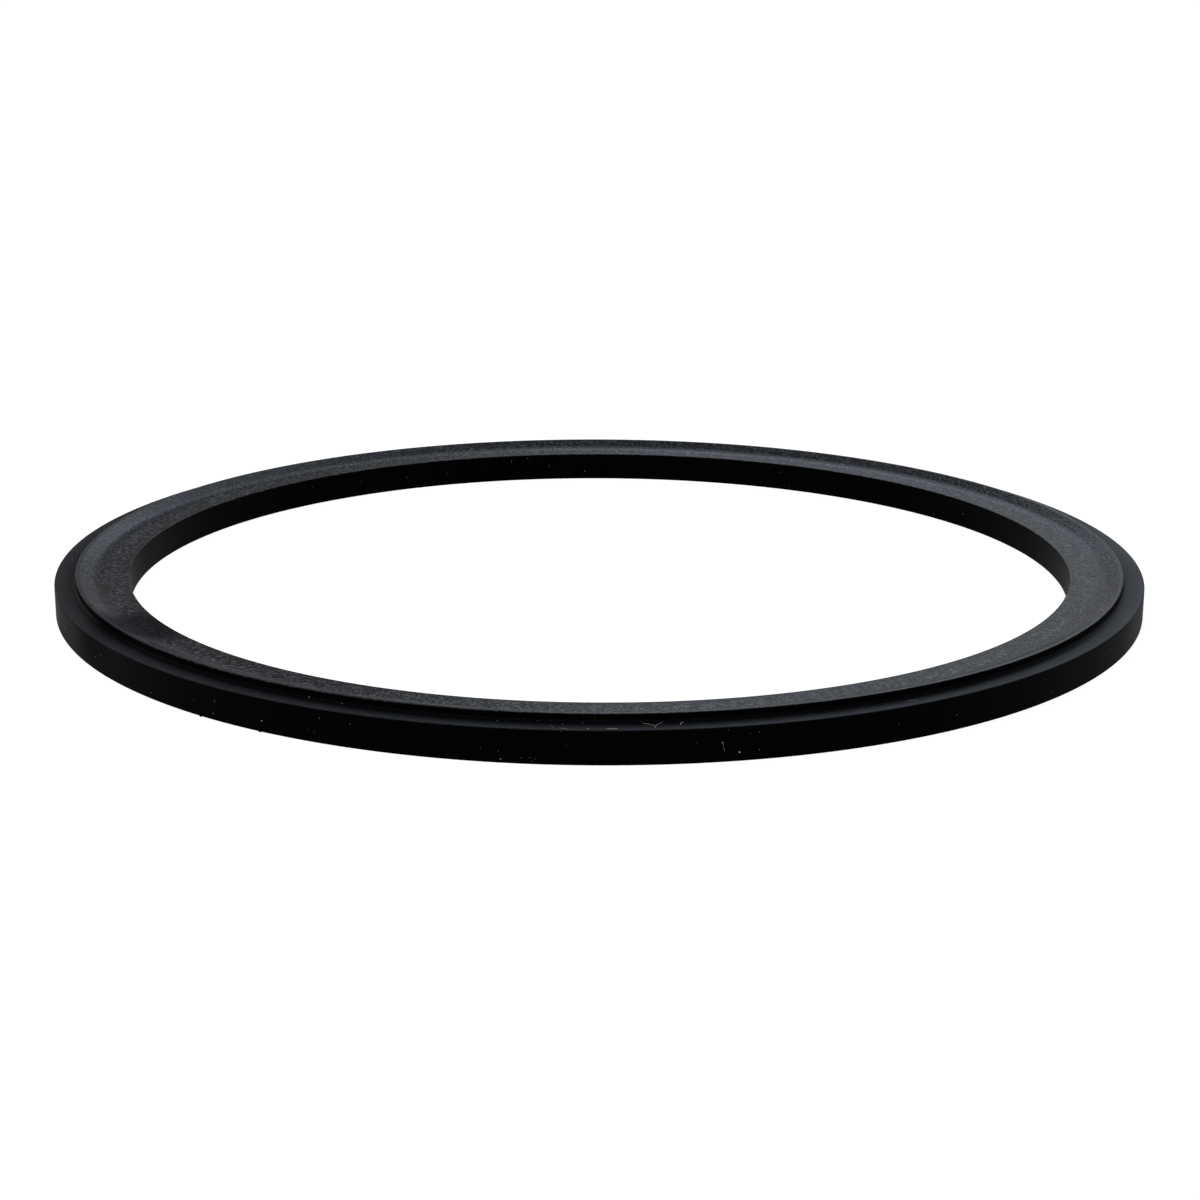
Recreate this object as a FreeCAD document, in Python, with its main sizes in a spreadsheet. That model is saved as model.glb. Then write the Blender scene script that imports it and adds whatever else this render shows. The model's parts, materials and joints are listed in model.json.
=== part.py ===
import FreeCAD, Part
import os
import Sketcher

# Ribbed gasket: one ring moulded in rubber, in millimetres, +Z up.
# The origin is the centre of the underside, on the ring's own axis.
# From the bore outwards, the top is a flat land, a sealing rib that climbs slowly and drops
# steeply, and a narrow ledge outside the rib. Both walls and the underside are plain.

NODE = "gasket_ring"
FULL_TURN = 360
TOLERANCE = 1e-4

# Driving sizes: alias, value, meaning. Widths are radial and heights are along the axis.
SIZES = (
    ("bore_diameter", 78.0, "plain hole through the ring"),
    ("land_width", 2.5, "flat land, from the bore to the foot of the rib"),
    ("slope_width", 1.5, "slow climb, from the foot of the rib to its crest"),
    ("crest_width", 0.3, "flat top of the rib"),
    ("ledge_width", 1.7, "from the steep side of the rib to the outer wall"),
    ("base_thickness", 2.5, "from the underside to the land and the ledge"),
    ("rib_height", 0.6, "from the land to the crest"),
    ("foot_radius", 3.0, "hollow blend between the land and the slope"),
    ("cove_radius", 0.25, "hollow blend between the steep side and the ledge"),
    ("crest_radius", 0.07, "rounding of the two edges of the crest"),
    ("bore_edge_radius", 0.1, "rounding of the inner edge of the land"),
    ("ledge_edge_bevel", 0.1, "bevel of the outer edge of the ledge"),
    ("underside_bevel", 0.1, "bevel of the two edges of the underside"),
    ("wall_share", 0.45, "largest share of a neighbouring wall that a rounding or bevel takes"),
)

# Walls of the section, in the order in which its outline is drawn.
BORE_WALL, LAND, SLOPE, CREST, STEEP_SIDE, LEDGE, OUTER_WALL, UNDERSIDE = range(8)
LEVEL_WALLS = (LAND, CREST, LEDGE, UNDERSIDE)
UPRIGHT_WALLS = (BORE_WALL, STEEP_SIDE, OUTER_WALL)

# The size that drives each way of easing an edge.
EASING_SIZE = {"Fillet": "Radius", "Chamfer": "Size"}

# The two ends of a sketch line, and the sketch's origin and level axis.
START, END = 1, 2
ORIGIN = (-1, 1)
LEVEL_AXIS = -1


def fill_sheet(doc, sizes):
    """Write every size as text beside its alias and its meaning."""
    sheet = doc.addObject("Spreadsheet::Sheet", "Sizes")
    for row, (alias, value, meaning) in enumerate(sizes, start=1):
        sheet.set("A%d" % row, alias)
        sheet.set("B%d" % row, str(value))
        sheet.setAlias("B%d" % row, alias)
        sheet.set("C%d" % row, meaning)
    doc.recompute()
    return sheet


def section_corners(sheet):
    """Place the corners of the section, each at the start of the wall that bears its number."""
    bore = sheet.bore_diameter / 2
    foot = bore + sheet.land_width
    crest_start = foot + sheet.slope_width
    crest_end = crest_start + sheet.crest_width
    outer = crest_end + sheet.ledge_width
    base = sheet.base_thickness
    crest = base + sheet.rib_height
    return [
        FreeCAD.Vector(radius, height, 0)
        for radius, height in (
            (bore, 0), (bore, base), (foot, base), (crest_start, crest),
            (crest_end, crest), (crest_end, base), (outer, base), (outer, 0),
        )
    ]


def section_sketch(doc, body, sheet):
    """Draw the ring's section on the upright plane and bind it to the sheet."""
    sketch = body.newObject("Sketcher::SketchObject", "ring_section")
    plane = next(item for item in body.Origin.OriginFeatures if item.Role == "XZ_Plane")
    sketch.AttachmentSupport = [(plane, "")]
    sketch.MapMode = "FlatFace"
    corners = section_corners(sheet)
    count = len(corners)
    for wall in range(count):
        sketch.addGeometry(Part.LineSegment(corners[wall], corners[(wall + 1) % count]), False)
    for wall in range(count):
        follower = (wall + 1) % count
        sketch.addConstraint(Sketcher.Constraint("Coincident", wall, END, follower, START))
    for wall in LEVEL_WALLS:
        sketch.addConstraint(Sketcher.Constraint("Horizontal", wall))
    for wall in UPRIGHT_WALLS:
        sketch.addConstraint(Sketcher.Constraint("Vertical", wall))
    sketch.addConstraint(Sketcher.Constraint("PointOnObject", BORE_WALL, START, LEVEL_AXIS))
    bore_place = (*ORIGIN, BORE_WALL, START)
    dimensions = (
        ("bore_radius", "DistanceX", bore_place, "Sizes.bore_diameter / 2"),
        ("land_run", "DistanceX", (LAND, START, LAND, END), "Sizes.land_width"),
        ("slope_run", "DistanceX", (SLOPE, START, SLOPE, END), "Sizes.slope_width"),
        ("crest_run", "DistanceX", (CREST, START, CREST, END), "Sizes.crest_width"),
        ("ledge_run", "DistanceX", (LEDGE, START, LEDGE, END), "Sizes.ledge_width"),
        ("land_level", "DistanceY", (BORE_WALL, START, BORE_WALL, END), "Sizes.base_thickness"),
        ("slope_rise", "DistanceY", (SLOPE, START, SLOPE, END), "Sizes.rib_height"),
        ("steep_drop", "DistanceY", (STEEP_SIDE, END, STEEP_SIDE, START), "Sizes.rib_height"),
    )
    for name, kind, ends, expression in dimensions:
        first = corners[(ends[0] + ends[1] - START) % count] if ends[0] >= 0 else FreeCAD.Vector()
        last = corners[(ends[2] + ends[3] - START) % count]
        span = last - first
        value = span.x if kind == "DistanceX" else span.y
        number = sketch.addConstraint(Sketcher.Constraint(kind, *ends, value))
        sketch.renameConstraint(number, name)
        sketch.setExpression("Constraints." + name, expression)
    doc.recompute()
    return sketch


def revolve(doc, body, sketch):
    """Turn the section once round the ring's axis."""
    ring = body.newObject("PartDesign::Revolution", "ring_blank")
    ring.Profile = sketch
    ring.ReferenceAxis = (sketch, ["V_Axis"])
    ring.Angle = FULL_TURN
    doc.recompute()
    return ring


def circle_at(shape, place):
    """Name the full circle that passes through one corner of the section."""
    for number, edge in enumerate(shape.Edges, start=1):
        curve = edge.Curve
        if not isinstance(curve, Part.Circle):
            continue
        if abs(curve.Radius - place.x) < TOLERANCE and abs(curve.Center.z - place.y) < TOLERANCE:
            return "Edge%d" % number
    raise ValueError("no circle at radius %.3f, height %.3f" % (place.x, place.y))


def ease_corners(doc, body, kind, name, places, size):
    """Round or bevel the circles through some corners of the section by one size."""
    base = body.Tip
    easing = body.newObject("PartDesign::" + kind, name)
    easing.Base = (base, [circle_at(base.Shape, place) for place in places])
    easing.setExpression(EASING_SIZE[kind], size)
    doc.recompute()
    return easing


def within_walls(alias, *walls):
    """Limit a rounding or bevel by a share of each wall beside it."""
    limits = ["Sizes.%s" % alias] + ["Sizes.wall_share * %s" % wall for wall in walls]
    return "min(%s)" % "; ".join(limits)


def gasket_ring(doc, sheet):
    """Build the ring: the turned section, then its hollows, then its outer edges."""
    body = doc.addObject("PartDesign::Body", NODE)
    body.Label = NODE
    sketch = section_sketch(doc, body, sheet)
    revolve(doc, body, sketch)
    corners = section_corners(sheet)
    land, slope, crest = "Sizes.land_width", "Sizes.slope_width", "Sizes.crest_width"
    ledge, base, rib = "Sizes.ledge_width", "Sizes.base_thickness", "Sizes.rib_height"
    # A blend across the shallow angle of the slope reaches along each wall by its radius
    # times the tangent of half that angle.
    reach = "tan(atan(%s / %s) / 2)" % (rib, slope)
    foot_walls = (land + " / " + reach, slope + " / " + reach)
    easings = (
        ("Fillet", "rib_foot", [SLOPE], within_walls("foot_radius", *foot_walls)),
        ("Fillet", "rib_cove", [LEDGE], within_walls("cove_radius", ledge, rib)),
        ("Fillet", "crest_edges", [CREST, STEEP_SIDE], within_walls("crest_radius", crest, rib)),
        ("Fillet", "bore_edge", [LAND], within_walls("bore_edge_radius", land, base)),
        ("Chamfer", "ledge_edge", [OUTER_WALL], within_walls("ledge_edge_bevel", ledge, base)),
        ("Chamfer", "underside_edges", [BORE_WALL, UNDERSIDE],
         within_walls("underside_bevel", land, base)),
    )
    for kind, name, walls, size in easings:
        ease_corners(doc, body, kind, name, [corners[wall] for wall in walls], size)
    return body


def check(doc, bodies):
    """Stop before anything is written if a feature failed or a shape isn't one sound solid."""
    for item in doc.Objects:
        if "Invalid" in item.State or "Error" in item.State:
            raise RuntimeError("%s failed: %s" % (item.Name, item.State))
    for body in bodies:
        shape = body.Shape
        if shape.isNull() or not shape.isValid() or len(shape.Solids) != 1:
            raise RuntimeError("%s isn't one valid solid" % body.Label)


def main():
    """Build the gasket and write its one piece."""
    doc = FreeCAD.newDocument("ribbed_gasket")
    sheet = fill_sheet(doc, SIZES)
    bodies = [gasket_ring(doc, sheet)]
    doc.recompute()
    check(doc, bodies)
    os.makedirs("parts", exist_ok=True)
    for body in bodies:
        body.Shape.exportStep("parts/%s.step" % body.Label)
        box = body.Shape.optimalBoundingBox(False, False)
        print("%s: volume %.1f, box %.2f x %.2f x %.2f"
              % (body.Label, body.Shape.Volume, box.XLength, box.YLength, box.ZLength))


main()
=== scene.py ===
"""A ribbed rubber gasket on a plain pale floor: the moulded ring, and the dust and lint on it.

Everything is in metres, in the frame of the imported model: +Z up along the ring's axis, with the
origin at the centre of its underside. The camera stands on the -Y side.
"""

import json
import logging
import math
import random
from dataclasses import dataclass, field, fields
from enum import Enum

import bmesh
import bpy
from mathutils import Matrix, Quaternion, Vector


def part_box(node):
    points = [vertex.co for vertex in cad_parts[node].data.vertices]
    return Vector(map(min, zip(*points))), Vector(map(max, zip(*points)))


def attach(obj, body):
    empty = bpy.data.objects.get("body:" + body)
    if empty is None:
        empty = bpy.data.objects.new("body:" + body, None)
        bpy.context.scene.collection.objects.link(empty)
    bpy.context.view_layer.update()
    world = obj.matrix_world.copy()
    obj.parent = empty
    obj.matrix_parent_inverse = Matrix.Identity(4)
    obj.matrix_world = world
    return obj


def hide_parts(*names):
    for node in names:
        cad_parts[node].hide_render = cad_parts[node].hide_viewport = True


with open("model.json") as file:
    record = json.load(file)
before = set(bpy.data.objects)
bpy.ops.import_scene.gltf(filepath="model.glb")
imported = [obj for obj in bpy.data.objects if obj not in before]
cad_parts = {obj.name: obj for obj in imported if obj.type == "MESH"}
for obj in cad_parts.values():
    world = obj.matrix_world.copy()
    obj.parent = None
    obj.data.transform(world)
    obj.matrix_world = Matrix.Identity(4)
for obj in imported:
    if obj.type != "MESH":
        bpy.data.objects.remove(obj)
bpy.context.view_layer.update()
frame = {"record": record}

RING_NODE = "gasket_ring"
RING_BODY = "root"
PHOTO_SIDE = 1200
MILLIMETRE = 0.001
MICROMETRE = 1e-6

# The even round of an eased edge, as Blender's bevel states it.
ROUND_PROFILE = 0.5

# Radii of lint fibres.
FINE_LINT = 5 * MICROMETRE
PLAIN_LINT = 7 * MICROMETRE
COARSE_LINT = 13 * MICROMETRE

# A place in the photograph, a place or colour, and what an input of a shader node takes.
Pixel = tuple[float, float]
Triple = tuple[float, float, float]
Feed = bpy.types.NodeSocket | float | tuple[float, ...]

log = logging.getLogger("gasket")


class Corner(Enum):
    """Corners of the ring's section, from the underside of the bore round to the outer wall."""

    BORE_FOOT = "bore foot"
    BORE_EDGE = "bore edge"
    RIB_FOOT = "rib foot"
    CREST_START = "crest start"
    CREST_END = "crest end"
    RIB_COVE = "rib cove"
    LEDGE_EDGE = "ledge edge"
    WALL_FOOT = "wall foot"


@dataclass(frozen=True)
class Surface:
    """How a part of the ring looks: the depth of its grain, how pale the tips of that grain are and
    how much even grey lies on it, partly the rubber's bloom and partly painted highlight, each from
    0 to about 1, and its roughness."""

    stipple: float
    flecks: float
    bloom_and_highlight: float
    roughness: float


class Zone(Enum):
    """Parts of the ring that differ in their surface."""

    # The bloom values are partly the rubber's grey bloom and partly painted highlight: the crest
    # and the ledge are painted palest, the walls not at all.
    LIP = Surface(stipple=0.9, flecks=0.6, bloom_and_highlight=0.05, roughness=0.2)
    LAND = Surface(stipple=1.0, flecks=1.2, bloom_and_highlight=0.05, roughness=0.2)
    SLOPE = Surface(stipple=0.5, flecks=0.7, bloom_and_highlight=0.15, roughness=0.2)
    CREST = Surface(stipple=0.4, flecks=0.3, bloom_and_highlight=0.9, roughness=0.12)
    COVE = Surface(stipple=0.05, flecks=0.0, bloom_and_highlight=0.05, roughness=0.45)
    LEDGE = Surface(stipple=0.15, flecks=0.15, bloom_and_highlight=0.5, roughness=0.4)
    WALL = Surface(stipple=0.05, flecks=0.0, bloom_and_highlight=0.0, roughness=0.5)


class Grade(Enum):
    """How large a speck of dust is, as its radius in metres."""

    FAINT = 0.016 * MILLIMETRE
    PLAIN = 0.026 * MILLIMETRE
    LARGE = 0.045 * MILLIMETRE
    COARSE = 0.07 * MILLIMETRE


@dataclass(frozen=True)
class Speck:
    """One speck of dust, at the pixel of the photograph where its middle shows."""

    pixel: Pixel
    grade: Grade = Grade.FAINT
    stretch: float = 1.0


@dataclass(frozen=True)
class Fibre:
    """One lint fibre, by the pixels of the photograph that it runs through."""

    name: str
    pixels: tuple[Pixel, ...]
    radius: float = PLAIN_LINT


# The dust and lint that the photograph shows, each placed at the listed pixels where it lies: on
# the steep side of the rib and the cove, on the ledge, and on the outer wall.
STEP_SPECKS = (
    Speck((497.4, 720.7), Grade.PLAIN),
    Speck((538.0, 720.7)),
    Speck((562.6, 724.1), Grade.PLAIN),
    Speck((582.7, 723.0), Grade.PLAIN),
    Speck((594.7, 717.9)),
    Speck((640.7, 721.5)),
    Speck((309.2, 697.2), Grade.PLAIN, 1.6),
    Speck((341.9, 703.8), Grade.PLAIN),
)
LEDGE_SPECKS = (
    Speck((237.4, 687.8)),
    Speck((588.0, 728.8), Grade.LARGE),
)
NEAR_WALL_SPECKS = (
    Speck((480.3, 748.0)),
    Speck((498.3, 751.1)),
    Speck((500.5, 758.9), Grade.LARGE),
    Speck((520.6, 758.0)),
    Speck((528.9, 757.6)),
    Speck((530.9, 757.9)),
    Speck((532.2, 761.2)),
    Speck((534.9, 758.9)),
    Speck((566.6, 745.3)),
    Speck((612.0, 763.8)),
    Speck((681.2, 760.7)),
    Speck((697.2, 742.9)),
    Speck((703.5, 762.8)),
    Speck((722.7, 742.4), Grade.LARGE),
    Speck((728.7, 729.9)),
    Speck((733.2, 760.5)),
    Speck((739.6, 752.2), Grade.COARSE),
    Speck((750.4, 733.5)),
    Speck((759.3, 731.7), Grade.PLAIN),
    Speck((759.3, 749.6), Grade.PLAIN),
)
SIDE_WALL_SPECKS = (
    Speck((214.7, 701.5), Grade.PLAIN, 1.6),
    Speck((213.3, 713.3), Grade.PLAIN),
    Speck((261.7, 720.8), Grade.LARGE, 1.4),
    Speck((308.0, 729.6)),
    Speck((314.3, 731.9)),
    Speck((319.3, 718.5), Grade.FAINT, 2.2),
    Speck((349.7, 724.2), Grade.PLAIN),
    Speck((355.7, 748.0)),
    Speck((884.9, 742.9)),
    Speck((898.9, 724.0)),
    Speck((956.9, 715.1), Grade.PLAIN),
    Speck((1045.6, 679.1)),
)
FIBRES = (
    Fibre("wavy_fibre", (
        (642.5, 723.2), (646.0, 723.7), (650.0, 724.2), (653.5, 725.2),
        (655.7, 725.9), (657.6, 724.6), (660.0, 723.4), (662.7, 722.2),
    )),
    Fibre("hanging_end", ((655.7, 725.9), (655.3, 728.0), (655.4, 730.4))),
    Fibre("curl", ((680.6, 724.8), (680.4, 723.4), (681.6, 722.2), (683.4, 722.6)), COARSE_LINT),
    Fibre("wall_fibre", ((722.7, 742.4), (723.4, 746.4), (724.6, 751.3))),
    Fibre("edge_hair", ((551.0, 725.6), (552.6, 727.4), (554.8, 728.7), (556.9, 730.8)), FINE_LINT),
    Fibre("edge_twig", ((559.2, 727.6), (561.0, 728.4), (564.5, 728.6), (567.6, 729.2)), FINE_LINT),
    Fibre("edge_tail", ((564.9, 728.8), (562.6, 730.6), (560.8, 731.6)), FINE_LINT),
    Fibre("ledge_streak", ((606.5, 729.0), (611.0, 728.7), (617.5, 728.9)), COARSE_LINT),
    Fibre("ledge_lint", ((908.5, 700.9), (912.5, 700.4), (917.0, 699.9)), FINE_LINT),
)

# Pixels on the outer wall, each just above a nib of rubber at its foot.
NIB_PIXELS = ((201.6, 712.0), (260.4, 728.0))


def clear_selection() -> None:
    """Leave nothing selected."""
    bpy.ops.object.select_all(action="DESELECT")


def start_edit(piece: bpy.types.Object) -> None:
    """Open one piece in edit mode with nothing on it selected.

    Args:
        piece: The mesh object to open.
    """
    clear_selection()
    piece.select_set(True)
    bpy.context.view_layer.objects.active = piece
    bpy.ops.object.mode_set(mode="EDIT")
    bpy.ops.mesh.select_all(action="DESELECT")


def end_edit() -> None:
    """Go back to object mode."""
    bpy.ops.object.mode_set(mode="OBJECT")


def active_mesh(name: str) -> bpy.types.Object:
    """Name the object that was just added.

    Args:
        name: The piece's name, which its mesh takes too.

    Returns:
        The active object.
    """
    piece = bpy.context.active_object
    piece.name = name
    piece.data.name = name
    return piece


def join_all(parts: list[bpy.types.Object], name: str) -> bpy.types.Object:
    """Join several meshes into one piece.

    Args:
        parts: The mesh objects, each at the origin.
        name: The name of the piece.

    Returns:
        The joined piece.
    """
    clear_selection()
    for part in parts:
        part.select_set(True)
    bpy.context.view_layer.objects.active = parts[0]
    bpy.ops.object.join()
    return active_mesh(name)


def settle(piece: bpy.types.Object, finish: bpy.types.Material) -> None:
    """Give a finished piece its material and set it riding on the ring's body.

    Args:
        piece: The finished mesh object, in place.
        finish: Its material.
    """
    piece.data.materials.clear()
    piece.data.materials.append(finish)
    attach(piece, RING_BODY)
    log.info("%s: %d faces", piece.name, len(piece.data.polygons))


class NodeTree:
    """A short way to write a tree of shader nodes."""

    def __init__(self, owner: bpy.types.Material | bpy.types.World) -> None:
        """Start an empty tree.

        Args:
            owner: The material or the world that the tree belongs to.
        """
        owner.use_nodes = True
        self.tree = owner.node_tree
        self.tree.nodes.clear()

    def add(self, kind: str, **settings: Feed | str) -> bpy.types.Node:
        """Add a node, set its properties and fill its inputs.

        Args:
            kind: The node's type without the ShaderNode in front.
            **settings: A node property under its own name, or an input under its name with
                underscores for spaces, as a plain value or as an output to link from.

        Returns:
            The new node.
        """
        node = self.tree.nodes.new("ShaderNode" + kind)
        for key, value in settings.items():
            if hasattr(node, key):
                setattr(node, key, value)
            else:
                self.fill(node.inputs[key.replace("_", " ")], value)
        return node

    def fill(self, socket: bpy.types.NodeSocket, value: Feed) -> None:
        """Link an output to a socket, or set the socket's own value.

        Args:
            socket: The input to fill.
            value: An output, or a number or colour.
        """
        if isinstance(value, bpy.types.NodeSocket):
            self.tree.links.new(value, socket)
        else:
            socket.default_value = value

    def math(self, operation: str, *values: Feed) -> bpy.types.NodeSocket:
        """Add a Math node.

        Args:
            operation: The node's operation, such as MULTIPLY.
            *values: Numbers or outputs, in the order of its inputs.

        Returns:
            The node's output.
        """
        node = self.add("Math", operation=operation)
        for socket, value in zip(node.inputs, values):
            self.fill(socket, value)
        return node.outputs[0]

    def span(
        self, value: Feed, source: tuple[float, float], target: tuple[float, float] = (0, 1)
    ) -> bpy.types.NodeSocket:
        """Map a value smoothly from one span to another.

        Args:
            value: The output to map.
            source: The start and the end of its own span.
            target: What those two map to.

        Returns:
            The mapped output.
        """
        node = self.add("MapRange", interpolation_type="SMOOTHSTEP", Value=value)
        for name, number in zip(("From Min", "From Max", "To Min", "To Max"), (*source, *target)):
            self.fill(node.inputs[name], number)
        return node.outputs[0]

    def blend(self, share: Feed, first: Feed, second: Feed) -> bpy.types.NodeSocket:
        """Mix two colours.

        Args:
            share: How much of the second colour there is, from 0 to 1.
            first: A colour, or an output that gives one.
            second: A colour, or an output that gives one.

        Returns:
            The mixed colour.
        """
        node = self.add("MixRGB", Fac=share)
        for name, colour in (("Color1", first), ("Color2", second)):
            self.fill(node.inputs[name], (*colour, 1) if isinstance(colour, tuple) else colour)
        return node.outputs[0]

    def noise(
        self, place: Feed, size: float, detail: float, roughness: float = 0.5
    ) -> bpy.types.NodeSocket:
        """Add a noise whose features have one real size.

        Args:
            place: The coordinates that it reads.
            size: The size of a feature in metres.
            detail: How many finer layers it has.
            roughness: How strong those layers are.

        Returns:
            The noise as a number from 0 to 1.
        """
        return self.add(
            "TexNoise", Vector=place, Scale=1 / size, Detail=detail, Roughness=roughness
        ).outputs[0]

    def surface(self, **settings: Feed) -> None:
        """End the tree of a material in a principled surface.

        Args:
            **settings: The inputs of that surface, as add takes them.
        """
        self.add("OutputMaterial", Surface=self.add("BsdfPrincipled", **settings).outputs[0])

    def backdrop_rays(self) -> bpy.types.NodeSocket:
        """Tell the rays that see the backdrop from those that only light a matt surface.

        Returns:
            1 for a ray from the camera, a mirror or a clear body, and 0 for any other.
        """
        path = self.add("LightPath").outputs
        mirrored = self.math("MAXIMUM", path["Is Glossy Ray"], path["Is Transmission Ray"])
        return self.math("MAXIMUM", path["Is Camera Ray"], mirrored)


@dataclass(frozen=True)
class MouldedRubber:
    """Black moulded rubber, with the grain, flecks, and grey bloom with painted highlight that each
    part of the ring asks for.

    The mesh carries the values of its Surface as point attributes of the same names. Flecks are
    the pale tips of the grain, mottle varies them over about a millimetre, patches vary the gloss
    over about a centimetre, and the shade patch is one place on the land painted darker, with
    fewer pale flecks and a rougher gloss: painted shade.
    """

    smooth_colour: Triple = (0.0006, 0.0006, 0.0008)
    # A grey that stands for the rubber's bloom and, on the crest and the ledge, for painted
    # highlight.
    bloom_and_highlight_colour: Triple = (0.019, 0.021, 0.025)
    fleck_colour: Triple = (0.085, 0.09, 0.1)
    grain_size: float = 0.26 * MILLIMETRE
    grain_depth: float = 45 * MICROMETRE
    fleck_span: tuple[float, float] = (0.42, 0.75)
    mottle_size: float = 0.9 * MILLIMETRE
    mottle_share: float = 0.6
    mottle_flecks: tuple[float, float] = (0.6, 1.0)
    patch_size: float = 14 * MILLIMETRE
    patch_roughness: tuple[float, float] = (-0.03, 0.03)
    noise_span: tuple[float, float] = (0.3, 0.7)
    # One soft dark patch on the land: painted shade, made by fewer pale flecks and a rougher gloss
    # there.
    shade_patch_place: Triple = (-34.4 * MILLIMETRE, -21.5 * MILLIMETRE, 2.5 * MILLIMETRE)
    shade_patch_reach: tuple[float, float] = (2.0 * MILLIMETRE, 6.0 * MILLIMETRE)
    shade_patch_roughness: float = 0.45
    shade_patch_strength: float = 0.8
    specular_level: float = 0.008

    def make(self) -> bpy.types.Material:
        """Build the material.

        Returns:
            The rubber's material.
        """
        finish = bpy.data.materials.new("black_rubber_finish")
        nodes = NodeTree(finish)
        place = nodes.add("TexCoord").outputs["Object"]
        stipple, paleness, bloom_and_highlight, base_roughness = (
            nodes.add("Attribute", attribute_name=item.name).outputs["Fac"]
            for item in fields(Surface)
        )
        grain = nodes.noise(place, self.grain_size, detail=2.0, roughness=0.6)
        mottle = nodes.noise(place, self.mottle_size, detail=3.0)
        patch = nodes.noise(place, self.patch_size, detail=2.0)

        # Painted shade patch: fewer pale flecks, a shallower grain and a rougher surface round one
        # place on the land.
        away = nodes.add("VectorMath", operation="DISTANCE")
        nodes.fill(away.inputs[0], place)
        nodes.fill(away.inputs[1], self.shade_patch_place)
        painted_shade_patch = nodes.span(away.outputs["Value"], self.shade_patch_reach, (1, 0))
        unshaded = nodes.math("SUBTRACT", 1, nodes.math("MULTIPLY", painted_shade_patch, self.shade_patch_strength))

        flecks = nodes.math("MULTIPLY", nodes.span(grain, self.fleck_span), paleness)
        # Fewer pale flecks inside the painted shade patch.
        flecks = nodes.math("MULTIPLY", flecks, unshaded)
        mottling = nodes.span(mottle, self.noise_span, self.mottle_flecks)
        flecks = nodes.math("MULTIPLY", flecks, mottling)
        # Painted highlight with the rubber's grey bloom: the bloom attribute lifts the black
        # towards grey.
        body = nodes.blend(bloom_and_highlight, self.smooth_colour, self.bloom_and_highlight_colour)
        colour = nodes.blend(flecks, body, self.fleck_colour)

        spread = nodes.span(patch, self.noise_span, self.patch_roughness)
        dulling = nodes.math("MULTIPLY", painted_shade_patch, self.shade_patch_roughness)
        roughness = nodes.math("ADD", nodes.math("ADD", spread, base_roughness), dulling)

        depth = nodes.math("MULTIPLY", stipple, unshaded)
        height = nodes.math("ADD", grain, nodes.math("MULTIPLY", mottle, self.mottle_share))
        bump = nodes.add("Bump", Strength=depth, Distance=self.grain_depth, Height=height)
        nodes.surface(Base_Color=colour, Roughness=roughness, Normal=bump.outputs[0],
                      Specular_IOR_Level=self.specular_level)
        return finish


@dataclass(frozen=True)
class PaleDust:
    """Dry house dust or lint, from grey to tan from one speck to the next."""

    name: str = "pale_dust_finish"
    grey: Triple = (0.5, 0.49, 0.47)
    tan: Triple = (0.46, 0.4, 0.33)
    change_size: float = 1.5 * MILLIMETRE
    change_span: tuple[float, float] = (0.35, 0.65)
    grain_size: float = 0.02 * MILLIMETRE
    grain_depth: float = 4 * MICROMETRE
    roughness: float = 0.9
    specular_level: float = 0.2

    def make(self) -> bpy.types.Material:
        """Build the material.

        Returns:
            The material of the dust.
        """
        finish = bpy.data.materials.new(self.name)
        nodes = NodeTree(finish)
        place = nodes.add("TexCoord").outputs["Object"]
        change = nodes.noise(place, self.change_size, detail=1.0)
        grain = nodes.noise(place, self.grain_size, detail=2.0)
        colour = nodes.blend(nodes.span(change, self.change_span), self.grey, self.tan)
        bump = nodes.add("Bump", Distance=self.grain_depth, Height=grain)
        nodes.surface(Base_Color=colour, Roughness=self.roughness, Normal=bump.outputs[0],
                      Specular_IOR_Level=self.specular_level)
        return finish


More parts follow.
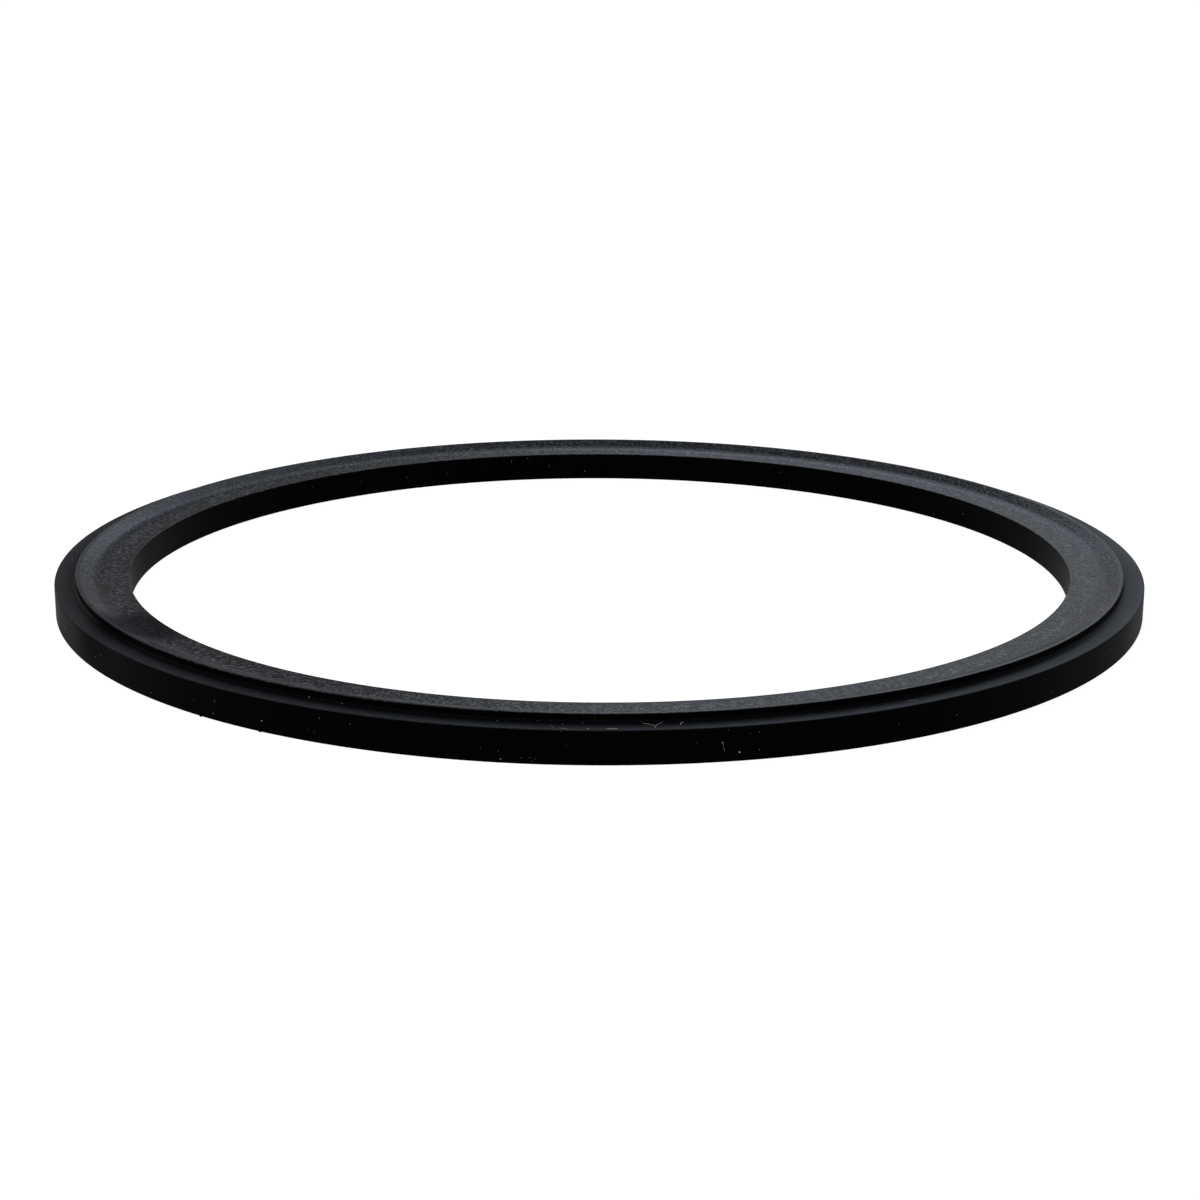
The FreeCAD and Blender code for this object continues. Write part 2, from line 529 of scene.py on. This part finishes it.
@dataclass
class GasketRing:
    """The moulded ring. Widths are radial and heights are along the axis, all in metres.

    Places nearer to each other than reach count as one. A normal that points up by less than
    level_slope belongs to a wall.
    """

    outer_radius: float
    height: float
    bore_radius: float
    land_width: float = 2.5 * MILLIMETRE
    crest_width: float = 0.3 * MILLIMETRE
    ledge_width: float = 1.7 * MILLIMETRE
    base_thickness: float = 2.5 * MILLIMETRE
    foot_radius: float = 3.0 * MILLIMETRE
    cove_radius: float = 0.25 * MILLIMETRE
    crest_radius: float = 0.07 * MILLIMETRE
    ledge_edge_radius: float = 0.1 * MILLIMETRE
    bore_edge_radius: float = 0.1 * MILLIMETRE
    underside_radius: float = 0.1 * MILLIMETRE
    steps_round: int = 480
    smooth_angle: float = math.radians(40)
    level_slope: float = 0.5
    reach: float = 0.002 * MILLIMETRE
    name: str = "moulded_ring"
    corners: dict[Corner, tuple[float, float]] = field(init=False)

    def __post_init__(self) -> None:
        """Place the corners of the section as radius and height."""
        foot = self.bore_radius + self.land_width
        crest_end = self.outer_radius - self.ledge_width
        base = self.base_thickness
        self.corners = {
            Corner.BORE_FOOT: (self.bore_radius, 0.0),
            Corner.BORE_EDGE: (self.bore_radius, base),
            Corner.RIB_FOOT: (foot, base),
            Corner.CREST_START: (crest_end - self.crest_width, self.height),
            Corner.CREST_END: (crest_end, self.height),
            Corner.RIB_COVE: (crest_end, base),
            Corner.LEDGE_EDGE: (self.outer_radius, base),
            Corner.WALL_FOOT: (self.outer_radius, 0.0),
        }

    def build(self, finish: bpy.types.Material) -> bpy.types.Object:
        """Model the ring, ease its corners and dress it.

        Args:
            finish: The material that it wears.

        Returns:
            The finished ring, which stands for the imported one.
        """
        ring = self.draw_walls()
        for corner, radius, steps in (
            (Corner.RIB_FOOT, self.foot_radius, 8),
            (Corner.RIB_COVE, self.cove_radius, 6),
            (Corner.CREST_START, self.crest_radius, 3),
            (Corner.CREST_END, self.crest_radius, 4),
            (Corner.LEDGE_EDGE, self.ledge_edge_radius, 4),
            (Corner.BORE_EDGE, self.bore_edge_radius, 5),
            (Corner.BORE_FOOT, self.underside_radius, 4),
            (Corner.WALL_FOOT, self.underside_radius, 4),
        ):
            self.ease(ring, corner, radius, steps)
        self.close_up(ring)
        self.mark_zones(ring)
        settle(ring, finish)
        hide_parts(RING_NODE)
        return ring

    def draw_walls(self) -> bpy.types.Object:
        """Extrude a circle from corner to corner of the section, and join it to its start.

        Returns:
            The ring with sharp corners.
        """
        places = list(self.corners.values())
        radius, height = places[0]
        bpy.ops.mesh.primitive_circle_add(
            vertices=self.steps_round, radius=radius, location=(0, 0, height)
        )
        ring = active_mesh(self.name)
        start_edit(ring)
        bpy.ops.mesh.select_all(action="SELECT")
        for next_radius, next_height in places[1:] + places[:1]:
            rise = {"value": (0, 0, next_height - height)}
            bpy.ops.mesh.extrude_region_move(TRANSFORM_OT_translate=rise)
            share = next_radius / radius
            bpy.ops.transform.resize(value=(share, share, 1), center_override=(0, 0, next_height))
            radius, height = next_radius, next_height
        bpy.ops.mesh.select_all(action="SELECT")
        bpy.ops.mesh.remove_doubles(threshold=self.reach)
        bpy.ops.mesh.normals_make_consistent(inside=False)
        end_edit()
        return ring

    def ease(self, ring: bpy.types.Object, corner: Corner, radius: float, steps: int) -> None:
        """Round the circle of edges at one corner of the section.

        Args:
            ring: The ring with that corner still sharp.
            corner: Which corner to round.
            radius: The radius of the rounding.
            steps: How many facets it gets.
        """
        start_edit(ring)
        bpy.ops.mesh.select_mode(type="EDGE")
        mesh = bmesh.from_edit_mesh(ring.data)
        for edge in mesh.edges:
            edge.select_set(all(self.is_at(vert.co, corner) for vert in edge.verts))
        bmesh.update_edit_mesh(ring.data)
        setback = radius * math.tan(self.turn(corner) / 2)
        bpy.ops.mesh.bevel(offset=setback, segments=steps, profile=ROUND_PROFILE, affect="EDGES")
        end_edit()

    def is_at(self, place: Vector, corner: Corner) -> bool:
        """Tell whether a point lies on the circle through one corner.

        Args:
            place: The point.
            corner: The corner.

        Returns:
            True if it lies there.
        """
        radius, height = self.corners[corner]
        return abs(place.xy.length - radius) < self.reach and abs(place.z - height) < self.reach

    def turn(self, corner: Corner) -> float:
        """Find how far the section turns at one corner.

        Args:
            corner: The corner.

        Returns:
            The angle from the way that the first wall runs to the way of the next, in radians.
        """
        names = list(self.corners)
        index = names.index(corner)
        before, here, after = (
            Vector(self.corners[names[(index + step) % len(names)]]) for step in (-1, 0, 1)
        )
        return (here - before).angle(after - here)

    def close_up(self, ring: bpy.types.Object) -> None:
        """Turn every face outwards and shade the ring smoothly, with its flat faces flat.

        Args:
            ring: The ring with its corners eased.
        """
        start_edit(ring)
        bpy.ops.mesh.select_all(action="SELECT")
        bpy.ops.mesh.normals_make_consistent(inside=False)
        end_edit()
        bpy.ops.object.shade_smooth_by_angle(angle=self.smooth_angle)
        ring.modifiers.new("even_shading", "WEIGHTED_NORMAL").keep_sharp = True
        bpy.ops.object.modifier_apply(modifier="even_shading")

    def zone(self, vert: bpy.types.MeshVertex) -> Zone:
        """Find which part of the ring a point belongs to.

        Args:
            vert: A point of the finished ring.

        Returns:
            That part.
        """
        if vert.normal.z < self.level_slope:
            return Zone.WALL
        if vert.co.z > self.height - self.reach:
            return Zone.CREST
        crest_end, _ = self.corners[Corner.CREST_END]
        past_crest = vert.co.xy.length - crest_end
        if past_crest > self.cove_radius + self.reach:
            return Zone.LEDGE
        if past_crest > -self.reach:
            return Zone.COVE
        if vert.co.z > self.base_thickness + self.reach:
            return Zone.SLOPE
        past_bore = vert.co.xy.length - self.bore_radius
        return Zone.LIP if past_bore < self.bore_edge_radius + self.reach else Zone.LAND

    def mark_zones(self, ring: bpy.types.Object) -> None:
        """Write the surface of its zone on every point of the ring.

        Args:
            ring: The finished ring.
        """
        zones = [self.zone(vert) for vert in ring.data.vertices]
        for item in fields(Surface):
            values = [getattr(zone.value, item.name) for zone in zones]
            layer = ring.data.attributes.new(item.name, "FLOAT", "POINT")
            layer.data.foreach_set("value", values)


@dataclass
class PhotoCamera:
    """The camera that took the photograph, fitted to the circles of the ring."""

    distance: float = 205.26 * MILLIMETRE
    elevation: float = math.radians(15.6957)
    roll: float = math.radians(0.2007)
    aim: Triple = (0.05 * MILLIMETRE, -4.92 * MILLIMETRE, 0.0)
    lens: float = 72.7
    sensor: float = 36.0
    nearest: float = 1 * MILLIMETRE

    def build(self) -> bpy.types.Object:
        """Set the camera up and make it the scene's own.

        Returns:
            The camera.
        """
        away = Vector((0, -math.cos(self.elevation), math.sin(self.elevation)))
        place = away * self.distance
        bpy.ops.object.camera_add(location=place)
        camera = bpy.context.active_object
        camera.name = "photo_camera"
        camera.rotation_mode = "QUATERNION"
        looking = (Vector(self.aim) - place).to_track_quat("-Z", "Y")
        camera.rotation_quaternion = looking @ Quaternion((0, 0, 1), self.roll)
        camera.data.lens = self.lens
        camera.data.sensor_width = self.sensor
        camera.data.clip_start = self.nearest
        bpy.context.scene.camera = camera
        bpy.context.view_layer.update()
        return camera

    def ray(self, camera: bpy.types.Object, pixel: Pixel) -> Vector:
        """Find the direction that a pixel of the photograph looks in.

        Args:
            camera: The camera that build made.
            pixel: The pixel, from the photograph's upper left corner.

        Returns:
            The direction, one metre long.
        """
        focal_length = PHOTO_SIDE * self.lens / self.sensor
        across = pixel[0] - PHOTO_SIDE / 2
        down = pixel[1] - PHOTO_SIDE / 2
        looking = Vector((across, -down, -focal_length))
        return (camera.matrix_world.to_3x3() @ looking).normalized()


@dataclass
class SurfaceDust:
    """Specks of dust and lint fibres on the ring: those that the photograph shows, and a few round
    the rest of it.

    The middle of a speck lies above the rubber by lump_lift of its half thickness, and a fibre by
    fibre_lift of its radius. The seeded specks start at shown_angle to the left and the right of
    the ring's nearest point.
    """

    sizes: GasketRing
    ring: bpy.types.Object
    view: PhotoCamera
    camera: bpy.types.Object
    seed: int = 7
    unevenness: float = 0.22
    flatness: float = 0.55
    lump_lift: float = 0.4
    fibre_lift: float = 0.8
    scatter_count: int = 110
    shown_angle: float = math.radians(38)
    scatter_radius: tuple[float, float] = (0.01 * MILLIMETRE, 0.03 * MILLIMETRE)
    scatter_stretch: tuple[float, float] = (1.0, 1.8)
    edge_gap: float = 0.3 * MILLIMETRE
    nib_radius: float = 0.14 * MILLIMETRE
    dice: random.Random = field(init=False)

    def __post_init__(self) -> None:
        """Start the seeded draws."""
        self.dice = random.Random(self.seed)

    def build(
        self, dust: bpy.types.Material, lint: bpy.types.Material, rubber: bpy.types.Material
    ) -> None:
        """Lay the dust, the lint and the two nibs of rubber.

        Args:
            dust: The finish of the specks.
            lint: The finish of the fibres.
            rubber: The finish of the ring.
        """
        lump = self.model_lump()
        shown = STEP_SPECKS + LEDGE_SPECKS + NEAR_WALL_SPECKS + SIDE_WALL_SPECKS
        specks = [self.lay_speck(lump, speck) for speck in shown]
        specks += [self.scatter_speck(lump) for _ in range(self.scatter_count)]
        settle(join_all(specks, "dust_specks"), dust)
        fibres = [self.lay_fibre(fibre) for fibre in FIBRES]
        settle(join_all(fibres, "lint_fibres"), lint)
        nibs = join_all([self.grow_nib(lump, pixel) for pixel in NIB_PIXELS], "moulding_nibs")
        settle(nibs, rubber)
        bpy.data.objects.remove(lump)

    def model_lump(self) -> bpy.types.Object:
        """Model the uneven lump, one metre in radius, that every speck is a copy of.

        Returns:
            The lump.
        """
        clear_selection()
        bpy.ops.mesh.primitive_uv_sphere_add(segments=8, ring_count=6, radius=1)
        lump = active_mesh("lump")
        start_edit(lump)
        bpy.ops.mesh.select_all(action="SELECT")
        bpy.ops.transform.vertex_random(offset=self.unevenness, seed=self.seed)
        end_edit()
        bpy.ops.object.shade_smooth()
        return lump

    def touch(self, pixel: Pixel) -> tuple[Vector, Vector]:
        """Find the point of the ring that a pixel of the photograph shows.

        Args:
            pixel: The pixel.

        Returns:
            The point, and the direction that the surface faces there.
        """
        eye = self.camera.matrix_world.translation
        return self.cast(eye, self.view.ray(self.camera, pixel))

    def cast(self, start: Vector, way: Vector) -> tuple[Vector, Vector]:
        """Find the first point of the ring on a line.

        Args:
            start: Where the line starts.
            way: Its direction.

        Returns:
            The point, and the direction that the surface faces there.
        """
        hit, place, normal, _ = self.ring.ray_cast(start, way)
        if not hit:
            raise ValueError(f"no rubber on the line from {tuple(start)} along {tuple(way)}")
        return place, normal

    def copy_lump(
        self, lump: bpy.types.Object, place: Vector, normal: Vector, size: Vector
    ) -> bpy.types.Object:
        """Set a copy of the lump on the ring, partly sunk in.

        Args:
            lump: The lump to copy.
            place: The point that it lies on.
            normal: The direction that the surface faces there.
            size: Its radii along the surface, upwards and out of the surface.

        Returns:
            The copy, with its place in its mesh.
        """
        copy = lump.copy()
        copy.data = lump.data.copy()
        bpy.context.collection.objects.link(copy)
        spin = Quaternion((0, 0, 1), self.dice.choice((0, math.pi)))
        middle = place + normal * size.z * self.lump_lift
        copy.data.transform(Matrix.LocRotScale(middle, normal.to_track_quat("Z", "Y") @ spin, size))
        return copy

    def lay_speck(self, lump: bpy.types.Object, speck: Speck) -> bpy.types.Object:
        """Lay a speck where the photograph shows it.

        Args:
            lump: The lump to copy.
            speck: The speck.

        Returns:
            The speck's object.
        """
        radius = speck.grade.value
        size = Vector((radius, radius * speck.stretch, radius * self.flatness))
        return self.copy_lump(lump, *self.touch(speck.pixel), size)

    def scatter_speck(self, lump: bpy.types.Object) -> bpy.types.Object:
        """Lay a speck by a seeded draw, anywhere but on the side that the photograph shows.

        Args:
            lump: The lump to copy.

        Returns:
            The speck's object.
        """
        angle = self.dice.uniform(self.shown_angle, 2 * math.pi - self.shown_angle)
        out = Vector((math.sin(angle), -math.cos(angle), 0))
        rise = Vector((0, 0, 1))
        level = rise * self.dice.uniform(self.edge_gap, self.sizes.base_thickness - self.edge_gap)
        well_away = 2 * self.sizes.outer_radius
        across = self.dice.uniform(
            self.sizes.bore_radius + self.edge_gap, self.sizes.outer_radius - self.edge_gap
        )
        start, way = self.dice.choice((
            (out * well_away + level, -out),
            (level, out),
            (out * across + rise * well_away, -rise),
        ))
        radius = self.dice.uniform(*self.scatter_radius)
        stretch = self.dice.uniform(*self.scatter_stretch)
        size = Vector((radius, radius * stretch, radius * self.flatness))
        return self.copy_lump(lump, *self.cast(start, way), size)

    def lay_fibre(self, fibre: Fibre) -> bpy.types.Object:
        """Lay a fibre along the surface, through its pixels.

        Args:
            fibre: The fibre.

        Returns:
            The fibre as a mesh.
        """
        points = []
        for pixel in fibre.pixels:
            place, normal = self.touch(pixel)
            points.append(place + normal * fibre.radius * self.fibre_lift)
        line = bpy.data.curves.new(fibre.name, "CURVE")
        line.dimensions = "3D"
        line.bevel_depth = fibre.radius
        line.bevel_resolution = 1
        line.use_fill_caps = True
        spline = line.splines.new("NURBS")
        spline.points.add(len(points) - 1)
        for point, place in zip(spline.points, points):
            point.co = (*place, 1)
        spline.order_u = 3
        spline.use_endpoint_u = True
        spline.resolution_u = 6
        strand = bpy.data.objects.new(fibre.name, line)
        bpy.context.collection.objects.link(strand)
        clear_selection()
        strand.select_set(True)
        bpy.context.view_layer.objects.active = strand
        bpy.ops.object.convert(target="MESH")
        bpy.ops.object.shade_smooth()
        return strand

    def grow_nib(self, lump: bpy.types.Object, pixel: Pixel) -> bpy.types.Object:
        """Set a nib of rubber at the foot of the outer wall.

        Args:
            lump: The lump to copy.
            pixel: A pixel of the photograph on the wall above the nib.

        Returns:
            The nib's object.
        """
        place, normal = self.touch(pixel)
        nib = self.copy_lump(lump, place, normal, Vector((1, 1, 1)) * self.nib_radius)
        drop = min(vert.co.z for vert in nib.data.vertices)
        nib.data.transform(Matrix.Translation((0, 0, self.sizes.reach - drop)))
        return nib


def opaque_grey(level: float) -> tuple[float, float, float, float]:
    """Write a grey as a colour with full cover."""
    return level, level, level, 1.0


@dataclass(frozen=True)
class Softbox:
    """A rectangular soft lamp that faces the middle of the ring."""

    name: str
    place: Triple
    size: tuple[float, float]
    power: float
    colour: Triple = (1.0, 1.0, 1.0)

    def hang(self) -> None:
        """Hang the lamp, where the camera doesn't see it."""
        bpy.ops.object.light_add(type="AREA", location=self.place)
        lamp = bpy.context.active_object
        lamp.name = self.name
        lamp.rotation_mode = "QUATERNION"
        lamp.rotation_quaternion = (-Vector(self.place)).to_track_quat("-Z", "Y")
        lamp.data.shape = "RECTANGLE"
        lamp.data.size, lamp.data.size_y = self.size
        lamp.data.energy = self.power
        lamp.data.color = self.colour
        lamp.visible_camera = False


@dataclass(frozen=True)
class GreyCard:
    """An upright grey card that only reflections see, in place of the white backdrop behind it."""

    name: str = "grey_card"
    place: Triple = (-0.24, 1.1, 0.35)
    size: tuple[float, float] = (0.28, 0.7)
    grey: float = 0.6

    def stand(self) -> None:
        """Stand the card up, facing the ring."""
        bpy.ops.mesh.primitive_plane_add(size=1, location=self.place, rotation=(math.pi / 2, 0, 0))
        card = active_mesh(self.name)
        card.scale = (*self.size, 1)
        paint = bpy.data.materials.new("grey_card_paint")
        paint.cycles.emission_sampling = "NONE"
        nodes = NodeTree(paint)
        glow = nodes.add("Emission", Color=opaque_grey(self.grey), Strength=1.0)
        nodes.add("OutputMaterial", Surface=glow.outputs[0])
        card.data.materials.append(paint)
        card.visible_camera = False
        card.visible_diffuse = False
        card.visible_shadow = False


@dataclass
class Studio:
    """A plain pale floor and backdrop that turn white to the camera, and soft light."""

    floor_radius: float = 4.0
    floor_sides: int = 96
    floor_grey: float = 0.2
    floor_glow: float = 0.9
    fill: float = 0.3
    key: Softbox = Softbox(
        name="key_softbox", place=(-0.3, -0.5, 0.8), size=(1.2, 0.9), power=7.0
    )
    back: Softbox = Softbox(
        name="back_softbox", place=(0.27, 0.95, 0.73), size=(0.75, 0.8), power=9.8,
        colour=(0.72, 0.84, 1.0),
    )
    card: GreyCard = GreyCard()

    def build(self) -> None:
        """Lay the floor, hang the lamps, stand the card and fill the world."""
        self.lay_floor()
        self.key.hang()
        self.back.hang()
        self.card.stand()
        self.fill_world()

    def lay_floor(self) -> None:
        """Make the floor, which keeps a faint shadow of the ring."""
        bpy.ops.mesh.primitive_circle_add(
            vertices=self.floor_sides, radius=self.floor_radius, fill_type="NGON"
        )
        floor = active_mesh("pale_floor")
        paint = bpy.data.materials.new("pale_floor_paint")
        paint.cycles.emission_sampling = "NONE"
        nodes = NodeTree(paint)
        glow = nodes.math("MULTIPLY", nodes.backdrop_rays(), self.floor_glow)
        nodes.surface(Base_Color=opaque_grey(self.floor_grey), Roughness=1.0,
                      Specular_IOR_Level=0.0, Emission_Color=opaque_grey(1.0),
                      Emission_Strength=glow)
        floor.data.materials.append(paint)

    def fill_world(self) -> None:
        """Give the camera and the reflections a white backdrop, and matt surfaces an even fill."""
        world = bpy.data.worlds.new("studio")
        world.cycles.sampling_method = "NONE"
        bpy.context.scene.world = world
        nodes = NodeTree(world)
        fill = nodes.add("Background", Strength=self.fill)
        white = nodes.add("Background", Color=opaque_grey(1.0), Strength=1.0)
        mix = nodes.add("MixShader", Fac=nodes.backdrop_rays())
        nodes.fill(mix.inputs[1], fill.outputs[0])
        nodes.fill(mix.inputs[2], white.outputs[0])
        nodes.add("OutputWorld", Surface=mix.outputs[0])


def mount_radius(name: str) -> float:
    """Read a round mount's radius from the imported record.

    Args:
        name: The mount's name.

    Returns:
        Its radius in metres.
    """
    mount = next(item for item in frame["record"]["mounts"] if item["name"] == name)
    return mount["dims"]["r_mm"] * MILLIMETRE


def main() -> None:
    """Build the ring, its dust, the camera and the studio."""
    logging.basicConfig(level=logging.INFO, format="%(name)s %(message)s")
    bpy.context.scene.view_settings.view_transform = "Standard"
    low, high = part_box(RING_NODE)
    sizes = GasketRing(
        outer_radius=min(-low.x, high.x, -low.y, high.y),
        height=high.z,
        bore_radius=mount_radius("bore"),
    )
    rubber = MouldedRubber().make()
    ring = sizes.build(rubber)
    view = PhotoCamera()
    lint = PaleDust(name="pale_lint_finish", tan=(0.47, 0.46, 0.44))
    SurfaceDust(sizes, ring, view, view.build()).build(PaleDust().make(), lint.make(), rubber)
    Studio().build()


if __name__ == "__main__":
    main()
